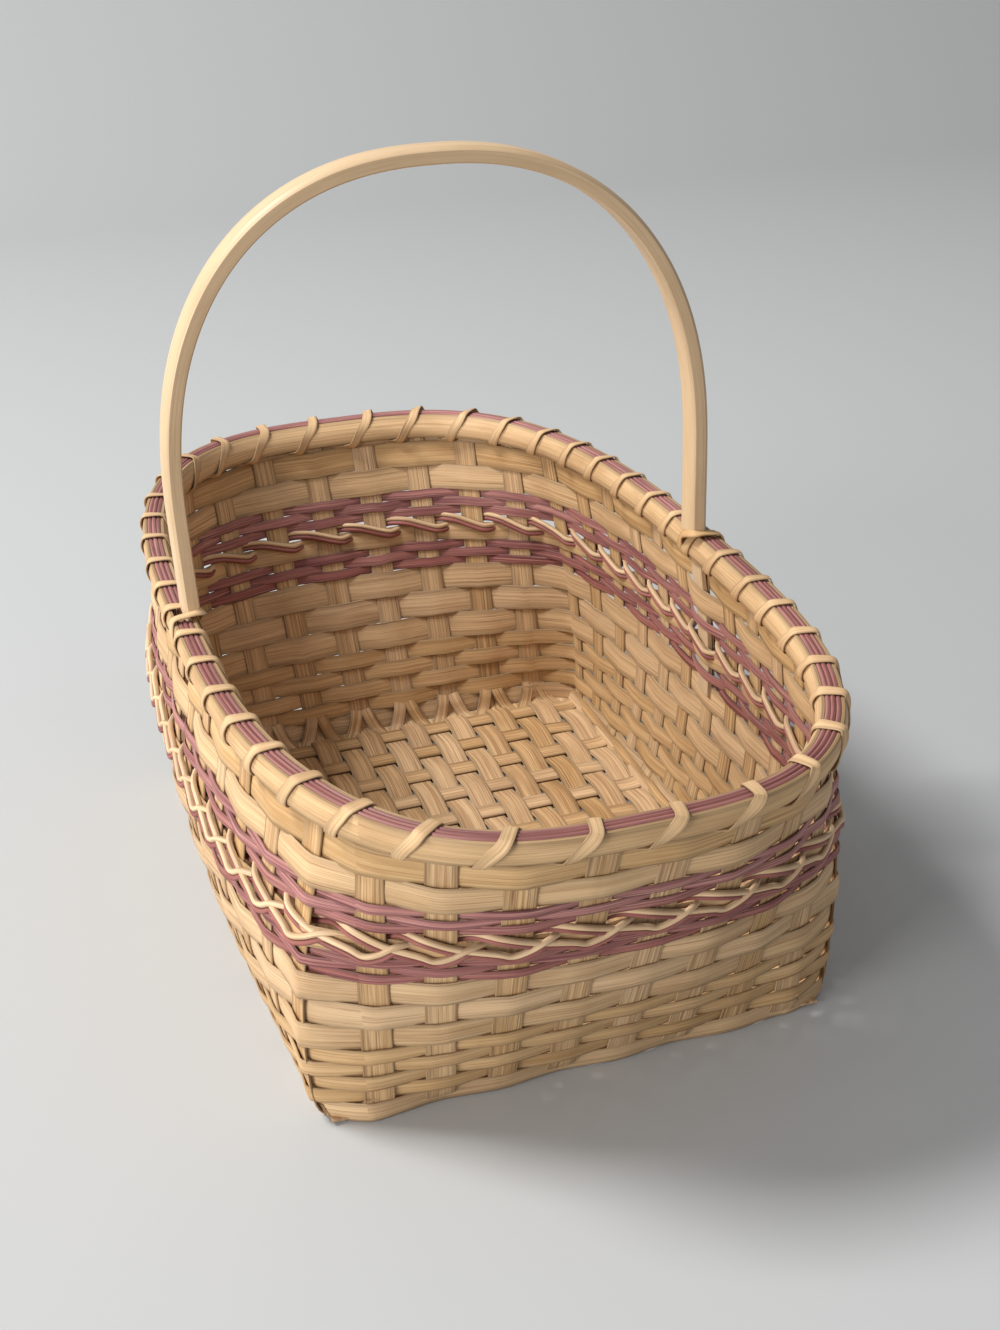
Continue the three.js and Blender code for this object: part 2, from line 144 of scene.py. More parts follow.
def smooth_through(points: Array, closed: bool, per_span: int) -> Array:
    """A centripetal Catmull-Rom curve through stations.

    Args:
        points: One row per station. The first three columns are the place, and more may follow.
        closed: Whether the last station joins the first.
        per_span: How many steps one span takes.

    Returns:
        The curve's rows, with the last station itself where the curve is open.
    """
    if closed:
        padded = np.vstack([points[-1:], points, points[:2]])
    else:
        padded = np.vstack([2 * points[:1] - points[1:2], points, 2 * points[-1:] - points[-2:-1]])
    p0, p1, p2, p3 = padded[:-3], padded[1:-2], padded[2:-1], padded[3:]

    def knot(a: Array, b: Array) -> Array:
        """Root of the distance between stations."""
        lengths = np.linalg.norm((b - a)[:, :3], axis=1, keepdims=True)
        return np.maximum(lengths, SHORTEST_SPAN) ** 0.5

    t1 = knot(p0, p1)
    t2 = t1 + knot(p1, p2)
    t3 = t2 + knot(p2, p3)
    rows = []
    for step in range(per_span):
        t = t1 + (t2 - t1) * step / per_span
        a1 = (t1 - t) / t1 * p0 + t / t1 * p1
        a2 = (t2 - t) / (t2 - t1) * p1 + (t - t1) / (t2 - t1) * p2
        a3 = (t3 - t) / (t3 - t2) * p2 + (t - t2) / (t3 - t2) * p3
        b1 = (t2 - t) / t2 * a1 + t / t2 * a2
        b2 = (t3 - t) / (t3 - t1) * a2 + (t - t1) / (t3 - t1) * a3
        rows.append((t2 - t) / (t2 - t1) * b1 + (t - t1) / (t2 - t1) * b2)
    curve = np.stack(rows, axis=1).reshape(-1, points.shape[1])
    return curve if closed else np.vstack([curve, points[-1:]])


class WallForm:
    """The middle surface of the woven wall, from the base's edge to the rim."""

    outline_steps = 1440
    tangent_reach = 0.05

    def __init__(self, sizes: ReedSizes) -> None:
        """Steps off the rim's outline and the base's feet.

        Args:
            sizes: The basket's sizes.
        """
        self.sizes = sizes
        self.rim_low, self.rim_high = box_heights("outer_rim_hoop")
        self.rim_z = (self.rim_low + self.rim_high) / 2
        self.stake_top = box_heights("crosswise_stake_1")[1]
        self.base_z = sizes.base_swing + sizes.stake_thick / 2 + sizes.stake_crown
        angle = -math.pi / 2 + np.linspace(0, 2 * math.pi, self.outline_steps + 1)
        circle = np.stack([np.cos(angle), np.sin(angle)], -1)
        half = np.array([sizes.rim_half_width, sizes.rim_half_length])
        self.rim = half * np.sign(circle) * np.abs(circle) ** (2 / sizes.rim_squareness)
        self.run = distances(self.rim)
        self.feet = self._feet()

    def _feet(self) -> Array:
        """Where each upright leaves the base, and the way its wall runs there.

        Returns:
            One row for each upright, with its place and its wall's direction on plan.
        """
        s = self.sizes
        half_width = (s.mains + s.fillers) * s.strip_pitch / 2
        half_length = s.crossings * s.cross_pitch / 2
        wall_x = half_width + s.wall_swing + s.weaver_thick
        wall_y = half_length + s.stake_thick
        front = [((2 * i - (s.mains - 1)) * s.strip_pitch, -wall_y, 1, 0) for i in range(s.mains)]
        middle = (s.crossings - 1) / 2
        side = [(wall_x, (j - middle) * s.cross_pitch, 0, 1) for j in range(s.crossings)]
        half = np.array(front + side, float)
        return np.vstack([half, -half])

    def rim_point(self, place: Array) -> Array:
        """Points on the rim's outline.

        Args:
            place: Uprights counted round the basket.

        Returns:
            Points on plan.
        """
        s = self.sizes
        turns = (place - (s.mains - 1) / 2) / s.uprights
        run = (turns - np.floor(turns)) * self.run[-1]
        return np.stack([np.interp(run, self.run, column) for column in self.rim.T], -1)

    def directions(self, place: Array, z: Array) -> tuple[Array, Array, Array]:
        """Wall point on plan, with the directions along the wall and out of it.

        Args:
            place: Uprights counted round the basket.
            z: Heights.

        Returns:
            Points, tangents and outward normals, each with two columns.
        """
        s = self.sizes
        rise = (np.maximum(0, z) / self.rim_z)[..., None]
        k = np.floor(place).astype(int)
        t = (place - k)[..., None]
        a = self.feet[k % s.uprights]
        b = self.feet[(k + 1) % s.uprights]
        foot = a + (b - a) * t
        foot_tangent = unit(foot[..., 2:])
        reach = self.tangent_reach
        rim_tangent = unit(self.rim_point(place + reach) - self.rim_point(place - reach))
        capped = np.minimum(rise, 1)
        point = foot[..., :2] * (1 - rise) + self.rim_point(place) * rise
        tangent = unit(foot_tangent * (1 - capped) + rim_tangent * capped)
        normal = np.stack([tangent[..., 1], -tangent[..., 0]], -1)
        share = np.minimum(1, np.maximum(0, z) / self.rim_low)[..., None] ** s.bulge_power
        fade = np.maximum(0, 1 - (point[..., 1:] / s.bulge_reach) ** 2)
        belly = np.where(normal[..., :1] < 0, s.left_bulge, s.right_bulge)
        bulge = 4 * belly * share * (1 - share) * np.abs(normal[..., :1]) * fade
        return point + normal * bulge, tangent, normal

    def point(self, place: Numbers, z: Numbers, off: Numbers = 0.0, shift: Numbers = 0.0) -> Array:
        """Points of the wall.

        Args:
            place: Uprights counted round the basket.
            z: Heights.
            off: Distance outward from the wall's middle.
            shift: Distance along the wall.

        Returns:
            An array of points, in millimetres.
        """
        given = (np.asarray(v, float) for v in (place, z, off, shift))
        place, z, off, shift = np.broadcast_arrays(*given)
        plan, tangent, normal = self.directions(place, z)
        plan = plan + normal * off[..., None] + tangent * shift[..., None]
        return np.concatenate([plan, z[..., None]], -1)

    def turns(self, z: float) -> Array:
        """How many degrees the wall turns at each upright, at one height."""
        steps = unit(np.diff(self.point(np.arange(-1, self.sizes.uprights + 1), z), axis=0))
        return np.degrees(np.arccos(np.minimum((steps[1:] * steps[:-1]).sum(1), 1)))


@dataclass
class Section:
    """Outline of a reed across its length, as places over its width and through it."""

    points: list[tuple[float, float]]
    rod_sides = 10

    @classmethod
    def flat(cls, width: float, thick: float, crown: float, back: float = 0.0) -> "Section":
        """A flat reed with eased edges, oval on the face that shows.

        Args:
            width: Width of the reed.
            thick: Thickness at its edges.
            crown: How far the middle of its outer face rises.
            back: How far the middle of its inner face rises.

        Returns:
            The section.
        """
        half, edge, eased = width / 2, thick / 2, min(0.35 * thick, 0.4)
        inner = half - eased
        thirds, halves = (-1, -0.66, -0.33, 0, 0.33, 0.66, 1), (-1, -0.5, 0, 0.5, 1)
        outside = [(a * inner, edge + crown * (1 - a * a)) for a in thirds]
        right = [(half, edge - eased), (half, eased - edge)]
        inside = [(-a * inner, -edge - back * (1 - a * a)) for a in halves]
        left = [(-half, eased - edge), (-half, edge - eased)]
        return cls(outside + right + inside + left)

    @classmethod
    def rod(cls, thick: float) -> "Section":
        """A round reed."""
        angles = [2 * math.pi * i / cls.rod_sides for i in range(cls.rod_sides)]
        return cls([(thick / 2 * math.cos(a), thick / 2 * math.sin(a)) for a in angles])

    @classmethod
    def bar(cls, width: float, thick: float, bevel: float, arris: float) -> "Section":
        """A flat bar, planed off along the edges of its outer face and eased along the inner ones.

        Args:
            width: Width of the bar.
            thick: Thickness of the bar.
            bevel: How far the planed edges reach down its sides.
            arris: How far the inner edges are eased.

        Returns:
            The section.
        """
        w, t = width / 2, thick / 2
        outer = [(w, t - bevel), (w - 0.75 * bevel, t - 0.18 * bevel), (w - 1.7 * bevel, t)]
        mirrored = [(-a, b) for a, b in reversed(outer)]
        inner = [(-w, arris - t), (arris - w, -t), (0.0, -t), (w - arris, -t), (w, arris - t)]
        return cls(outer + [(0.0, t)] + mirrored + inner)


@dataclass
class Path:
    """A reed's run: its middle line and the direction of its width at each step."""

    middle: Array
    across: Array
    closed: bool
    widths: Array

    @classmethod
    def through(
        cls, middle: Array, across: Array, closed: bool, per_span: int, widths: Array | None = None
    ) -> "Path":
        """A smooth run through stations.

        Args:
            middle: Places of the stations.
            across: Direction of the reed's width at each.
            closed: Whether the run is a ring.
            per_span: Steps from one station to the next.
            widths: Share of its full width that the reed has at each, or None for all of it.

        Returns:
            The path.
        """
        if widths is None:
            widths = np.ones(len(middle))
        stations = np.hstack([middle, unit(across), widths[:, None]])
        curve = smooth_through(stations, closed, per_span)
        return cls(curve[:, :3], unit(curve[:, 3:6]), closed, curve[:, 6])


Strand = tuple[Path, Section]


@dataclass
class ReedMaker:
    """Turns paths and sections into finished pieces on the basket's one body."""

    materials: dict[Finish, Material]
    rng: np.random.Generator = field(default_factory=lambda: np.random.default_rng(SEED))
    sharp_angle: float = math.radians(38)
    tone_spread: float = 0.5
    grain_shift: float = 4.0
    edge_power: int = 4

    def piece(
        self, name: str, strands: list[Strand], finish: Finish, nodes: tuple[str, ...] = (),
        grain: float = 0.55, tone: float | None = None,
    ) -> None:
        """Builds one named piece from one or more reeds.

        Args:
            name: The piece's name.
            strands: The reeds' paths and sections.
            finish: Which finish it wears.
            nodes: CAD nodes that it stands for.
            grain: How strongly its grain shows, from 0 to 1.
            tone: How pale or dark it is, from -1 to 1. Drawn by lot for each reed if left out.
        """
        work = bmesh.new()
        work.loops.layers.uv.new("UVMap")
        for layer in VERTEX_LAYERS:
            work.verts.layers.float.new(layer)
        for path, section in strands:
            drawn = float(self.rng.uniform(-self.tone_spread, self.tone_spread))
            self._sweep(work, path, section, drawn if tone is None else tone)
        grain_layer = work.verts.layers.float["grain"]
        for vert in work.verts:
            vert[grain_layer] = grain
        obj = mesh_object(name, work, self.materials[finish])
        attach(obj, "root")
        if nodes:
            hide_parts(*nodes)
        LOG.info("%s: %d faces", name, len(obj.data.polygons))

    def _sweep(self, work: bmesh.types.BMesh, path: Path, section: Section, tone: float) -> None:
        """Bends a grid into a reed along its path.

        Args:
            work: The mesh under way.
            path: Where the reed runs.
            section: The reed's outline across its length.
            tone: How pale or dark this reed is, from -1 to 1.
        """
        tangent = travel(path.middle, path.closed)
        out_dir = unit(np.cross(tangent, path.across))
        width_dir = unit(np.cross(out_dir, tangent))
        run = distances(np.vstack([path.middle, path.middle[: int(path.closed)]]))
        outline = np.array(section.points + section.points[:1])
        girth, half = distances(outline), np.abs(outline[:, 0]).max()
        start = float(self.rng.uniform(0, self.grain_shift))
        last_row, last_column = len(run) - 1, len(outline) - 1
        made = bmesh.ops.create_grid(work, x_segments=last_column, y_segments=last_row, size=0.5)
        uv_layer, layers = work.loops.layers.uv.active, work.verts.layers.float
        tone_layer, edge_layer = layers["tone"], layers["edge"]
        places = {
            vert: (round((vert.co.y + 0.5) * last_row), round((vert.co.x + 0.5) * last_column))
            for vert in made["verts"]
        }
        for face in {face for vert in places for face in vert.link_faces}:
            for loop in face.loops:
                row, column = places[loop.vert]
                loop[uv_layer].uv = (girth[column] * MM, run[row] * MM + start)
            face.smooth = True
        for vert, (row, column) in places.items():
            step = row % len(path.middle)
            a, b = outline[column]
            wide = width_dir[step] * a * path.widths[step]
            vert.co = (path.middle[step] + wide + out_dir[step] * b) * MM
            vert[tone_layer] = tone
            # The edge mask rises towards the reed's edges, where the shader paints shade
            vert[edge_layer] = (abs(a) / half) ** self.edge_power
        verts = list(places)
        bmesh.ops.remove_doubles(work, verts=verts, dist=SHORTEST_SPAN)
        faces = {face for vert in verts if vert.is_valid for face in vert.link_faces}
        if not path.closed:
            edges = [e for e in {e for f in faces for e in f.edges} if e.is_boundary]
            faces.update(bmesh.ops.holes_fill(work, edges=edges, sides=0)["faces"])
        bmesh.ops.recalc_face_normals(work, faces=list(faces))
        for edge in {e for f in faces for e in f.edges}:
            edge.smooth = edge.calc_face_angle(0.0) < self.sharp_angle


def scene_object(name: str, data: ID) -> Object:
    """An object in the scene, at the origin.

    Args:
        name: Its name.
        data: Its mesh, lamp or camera.

    Returns:
        The object.
    """
    obj = bpy.data.objects.new(name, data)
    bpy.context.scene.collection.objects.link(obj)
    return obj


def mesh_object(name: str, work: bmesh.types.BMesh, material: Material) -> Object:
    """A finished mesh in the scene.

    Args:
        name: The object's name.
        work: The mesh under way, which is freed.
        material: What it wears.

    Returns:
        The object.
    """
    mesh = bpy.data.meshes.new(name)
    work.to_mesh(mesh)
    work.free()
    mesh.materials.append(material)
    return scene_object(name, mesh)


@dataclass
class WovenBase:
    """The closed base: stakes both ways, turned up into the walls, and fillers with split ends."""

    wall: WallForm
    maker: ReedMaker
    bend: float = 5.0
    bend_share: float = 0.6
    wall_levels: int = 7
    cross_levels: int = 9
    steps: int = 6
    filler_inset: float = 1.0
    grain: float = 1.0
    # Fan, distance past the wall's foot and height over the base, up a split half
    split_curl: tuple[Triple, ...] = (
        (3.4, -3.8, 0.9), (5.2, -1.2, 4.2), (7.2, 1.4, 9.0), (8.6, 5.4, 13.5),
    )
    # Lift, inset and curl of each half of the edge strips
    edge_curls: tuple[Triple, ...] = ((1.4, 1.6, 0.7), (4.6, 0.2, 1.1))
    edge_margin: float = 0.4
    edge_lean: float = 0.35
    edge_twist: float = 0.25

    def upright(self, k: int, side: float) -> tuple[Array, Array]:
        """Stations of a stake in the wall, from its bend to its top.

        Args:
            k: Which upright.
            side: 1 where the reed's width runs against the wall's direction, or -1.

        Returns:
            Places and width directions.
        """
        wall = self.wall
        z = np.linspace(wall.base_z + self.bend, wall.stake_top, self.wall_levels)
        _, tangent, _ = wall.directions(np.full(len(z), float(k)), z)
        across = np.concatenate([-side * tangent, np.zeros((len(z), 1))], -1)
        return wall.point(k, z), across

    def base_run(self, length: float, parity: int) -> tuple[Array, Array]:
        """Heights of a lengthwise strip over and under the crosswise stakes.

        Args:
            length: Half the distance that the strip's flat part reaches.
            parity: Which crossings it passes over.

        Returns:
            The y places and the heights.
        """
        s, level = self.wall.sizes, self.wall.base_z
        j = np.arange(s.crossings)
        y = (j - (s.crossings - 1) / 2) * s.cross_pitch
        z = level + np.where((j + parity) % 2 == 0, 1, -1) * s.base_swing
        return np.concatenate([[-length], y, [length]]), np.concatenate([[level], z, [level]])

    def strip(self, base: Array, width_dir: Triple, ends: tuple[int, ...] = ()) -> Strand:
        """A strip of the base.

        Args:
            base: Stations of its flat part.
            width_dir: Direction of its width there.
            ends: The uprights that it becomes at its start and its end, if it turns up there.

        Returns:
            The strip's path and section.
        """
        s = self.wall.sizes
        middle, across = base, np.tile(width_dir, (len(base), 1))
        if ends:
            first, last = self.upright(ends[0], -1), self.upright(ends[1], 1)
            middle = np.vstack([first[0][::-1], middle, last[0]])
            across = np.vstack([first[1][::-1], across, last[1]])
        path = Path.through(middle, across, False, self.steps)
        return path, Section.flat(s.stake_width, s.stake_thick, s.stake_crown)

    def finish(self, name: str, *strands: Strand) -> None:
        """Makes the piece that stands for one of the base's CAD nodes."""
        self.maker.piece(f"{name}_reed", list(strands), Finish.NATURAL, (name,), self.grain)

    def lengthwise_stakes(self) -> None:
        """The stakes that run along the base and up both end walls."""
        s = self.wall.sizes
        for i in range(s.mains):
            foot_x, foot_y = self.wall.feet[i, :2]
            y, z = self.base_run(abs(foot_y) - self.bend * self.bend_share, 0)
            ends = (i, s.uprights // 2 + s.mains - 1 - i)
            stake = self.strip(rows_of(foot_x, y, z), (1.0, 0.0, 0.0), ends)
            self.finish(f"lengthwise_stake_{i + 1}", stake)

    def crosswise_stakes(self) -> None:
        """The stakes that run across the base and up both long walls."""
        s = self.wall.sizes
        for j in range(s.crossings):
            foot_x, foot_y = self.wall.feet[s.mains + j, :2]
            x = np.linspace(-1, 1, self.cross_levels) * (foot_x - self.bend * self.bend_share)
            ends = (s.uprights // 2 + s.mains + s.crossings - 1 - j, s.mains + j)
            stake = self.strip(rows_of(x, foot_y, self.wall.base_z), (0.0, -1.0, 0.0), ends)
            self.finish(f"crosswise_stake_{j + 1}", stake)

    def fillers(self) -> None:
        """The strips that end at the base's edge, each in split halves."""
        s = self.wall.sizes
        y, z = self.base_run(s.crossings * s.cross_pitch / 2 - self.filler_inset, 1)
        for i in range(s.fillers):
            x = (2 * i - s.mains) * s.strip_pitch
            strands = [self.strip(rows_of(x, y, z), (1.0, 0.0, 0.0))]
            for end in (-1, 1):
                for side in (-1, 1):
                    if i not in (0, s.fillers - 1) or side * x < 0:
                        strands.append(self.split_end(x, end, side))
            self.finish(f"base_filler_{i + 1}", *strands)

    def split_end(self, x: float, end: int, side: int) -> Strand:
        """One half of a filler's split end, fanned out and tucked up the wall's inner face.

        Args:
            x: Middle of the filler.
            end: 1 for the back of the base and -1 for the front.
            side: Which half, 1 or -1.

        Returns:
            The half's path and section.
        """
        wall, s = self.wall, self.wall.sizes
        last = (s.crossings - 1) * s.cross_pitch / 2
        wall_y = abs(wall.feet[0][1])
        low = wall.base_z - s.base_swing
        start = s.stake_width / 4
        rows = [(start, last - 3, low), (start + 0.4, last + s.stake_width / 2 - 0.5, low + 0.9)]
        rows += [(start + a, wall_y + y, wall.base_z + z) for a, y, z in self.split_curl]
        middle = np.array([(x + side * a, end * y, z) for a, y, z in rows])
        path = Path.through(middle, np.tile([1.0, 0.0, 0.0], (len(rows), 1)), False, 5)
        return path, Section.flat(s.stake_width * 0.55, s.stake_thick * 0.8, 0.1)

    def edge_strips(self) -> None:
        """The outermost strips' split halves, curled along the feet of the long walls."""
        wall, s = self.wall, self.wall.sizes
        reach = (s.crossings - self.edge_margin) * s.cross_pitch / 2
        y = np.linspace(-reach, reach, 2 * s.crossings + 1)
        section = Section.flat(s.stake_width * 0.45, 0.8, 0.15)
        for side, name in ((1, "right"), (-1, "left")):
            strands = []
            for lift, inset, curl in self.edge_curls:
                wave = curl * np.sin(y / s.cross_pitch * math.pi + lift)
                x = wall.feet[s.mains][0] - inset - np.maximum(0, wave)
                middle = rows_of(side * x, y, wall.base_z + lift + wave / 2)
                lean = rows_of(side * (self.edge_lean + self.edge_twist * wave), 0.0, 1.0)
                strands.append((Path.through(middle, lean, False, 4), section))
            self.maker.piece(f"split_edge_strips_{name}", strands, Finish.NATURAL, grain=0.7)

    def build(self) -> None:
        """Makes every strip of the base."""
        self.edge_strips()
        self.lengthwise_stakes()
        self.fillers()
        self.crosswise_stakes()


@dataclass
class WovenWall:
    """The start-stop rows and the wale, woven round the uprights."""

    wall: WallForm
    maker: ReedMaker
    sharp_turn: float = 7.0
    seat_reach: float = 8.3
    seat_gap: float = 0.15
    tail_gap: float = 0.3
    tail_lead: float = 2.0
    hug_spread: tuple[float, float] = (-0.06, 0.1)
    corner_clear: float = 0.45
    overlap: float = 0.55
    wander: float = 0.2
    reach_down: dict[str, float] = field(
        default_factory=lambda: {"narrow_row_1": 3.0, "rim_row": 2.6}
    )
    steps: int = 4
    floor_clear: float = 0.3
    wale_pitch: float = 35.0
    # Upright past the first, place along it in reaches, distance out of its seat, height of 0 to 1
    braid: tuple[tuple[int, float, float, float], ...] = (
        (0, -1.2, 0.6, 0.42), (0, -0.4, 0.0, 0.56), (0, 0.6, 0.0, 0.80), (0, 1.7, 0.8, 1.02),
        (1, -0.9, -0.6, 0.94), (1, 0.9, 0.0, 0.44), (2, -1.0, -0.3, 0.02), (2, -0.2, 0.0, -0.20),
        (2, 0.8, 0.0, 0.04), (2, 1.6, -0.9, 0.42),
    )
    wale_steps: int = 5
    wale_spacing: float = 0.49
    wale_tone: float = 0.75

    def rows(self) -> list[tuple[str, Finish]]:
        """The rows from the base up.

        Returns:
            The CAD nodes' names and the rows' finishes.
        """
        natural, dyed = Finish.NATURAL, Finish.DYED
        rows = [(f"narrow_row_{i}", natural) for i in range(1, 6)]
        rows += [(f"wide_row_{i}", natural) for i in range(6, 9)]
        rows += [(f"lower_dyed_row_{i}", dyed) for i in range(1, 4)]
        rows += [("middle_row", natural)]
        rows += [(f"upper_dyed_row_{i}", dyed) for i in range(1, 4)]
        return rows + [("top_row_1", natural), ("top_row_2", natural), ("rim_row", natural)]

    def row_stations(self, index: int, low: float, high: float) -> Array:
        """Stations of one ring that goes over one upright and under the next.

        Args:
            index: The row's number from the base up, from 0.
            low: The row's lowest point.
            high: Its highest point.

        Returns:
            Columns of upright, shift along the wall and distance out.
        """
        wall, s = self.wall, self.wall.sizes
        seat = (s.stake_thick + s.weaver_thick) / 2 + self.seat_gap
        tail_swing = s.stake_thick / 2 + s.tail_thick + s.weaver_thick / 2 + self.tail_gap
        has_tail = low > box_heights("handle")[0] - self.tail_lead
        sharp = wall.turns((low + high) / 2) > self.sharp_turn
        stations = []
        for k in range(s.uprights):
            sign = 1 if (k + index) % 2 == 0 else -1
            hug = s.row_seat * (1 + float(self.maker.rng.uniform(*self.hug_spread)))
            reach, edge, middle = 0.6 * self.seat_reach, sign * hug, sign * 1.12 * hug
            if sign > 0 and sharp[k]:
                reach = 0.72 * self.seat_reach
                edge, middle = seat + self.corner_clear, seat + 2.2 * self.corner_clear
            if sign < 0 and has_tail and k in (s.handle_right, s.handle_left):
                reach = self.seat_reach
                stations += [(k, -reach, -tail_swing), (k, reach, -tail_swing)]
            else:
                stations += [(k, -reach, edge), (k, 0, middle), (k, reach, edge)]
        return np.array(stations).T

    def weave_rows(self) -> None:
        """The rings of flat reed with uneven edges, pressed against each other."""
        wall = self.wall
        for index, (name, finish) in enumerate(self.rows()):
            low, high = box_heights(name)
            low = low - self.overlap - self.reach_down.get(name, 0.0)
            high += self.overlap
            width = high - low
            k, shift, off = self.row_stations(index, low, high)
            wander = self.maker.rng.normal(0, self.wander, len(k))
            lower = wall.point(k, np.maximum(low + wander, self.floor_clear), off, shift)
            upper = wall.point(k, high + wander, off, shift)
            across = upper - lower
            widths = np.linalg.norm(across, axis=1) / width
            path = Path.through((lower + upper) / 2, across, True, self.steps, widths)
            crown, back = 0.035 * width + 0.12, 0.012 * width + 0.05
            section = Section.flat(width, wall.sizes.weaver_thick, crown, back)
            grain = 1.0 if finish is Finish.DYED else 0.7
            self.maker.piece(f"{name}_reed", [(path, section)], finish, (name,), grain)

    def wale_stations(self, start: int) -> Array:
        """Stations of a wale strand: behind an upright, down over the next, along a third's foot.

        Args:
            start: The upright that it first passes behind.

        Returns:
            Columns of upright, shift along the wall, distance out and height.
        """
        s = self.wall.sizes
        low, high = box_heights("wale_strand_1")
        bottom = low + 0.2 * s.wale_rod
        drop = high - 0.8 * s.wale_rod - bottom
        near = s.row_seat + s.weaver_thick / 2 + s.wale_rod / 2 + 0.1
        rows = []
        for k in range(start, start + s.uprights, 3):
            tail = s.tail_thick if k % s.uprights in (s.handle_right, s.handle_left) else 0
            behind = -(s.row_seat + s.weaver_thick + s.wale_rod / 2 + tail)
            seats = (behind, near, near + s.wale_rod * 0.42)
            rows += [
                (k + step, along * self.seat_reach, seats[step] + out, bottom + height * drop)
                for step, along, out, height in self.braid
            ]
        return np.array(rows).T

    def wale(self) -> None:
        """The three strands of the wale, each a pale rod with a dyed rod under it."""
        wall, s = self.wall, self.wall.sizes
        for start in range(3):
            k, shift, off, z = self.wale_stations(start)
            place = (k + shift / self.wale_pitch) % s.uprights
            middle = wall.point(place, z, off)
            up = unit(wall.point(place, z + 1, off) - wall.point(place, z - 1, off))
            run = travel(middle, True)
            side = unit(up - run * (up * run).sum(1, keepdims=True))
            node = f"wale_strand_{start + 1}"
            for name, finish, sign in (("pale", Finish.NATURAL, 1), ("dyed", Finish.DYED, -1)):
                line = middle + side * (sign * self.wale_spacing * s.wale_rod)
                strand = (Path.through(line, side, True, self.wale_steps), Section.rod(s.wale_rod))
                nodes, tone = ((node,) if sign > 0 else ()), self.wale_tone * sign
                self.maker.piece(f"{node}_{name}_rod", [strand], finish, nodes, 0.5, tone)

    def build(self) -> None:
        """Weaves the wall."""
        self.weave_rows()
        self.wale()


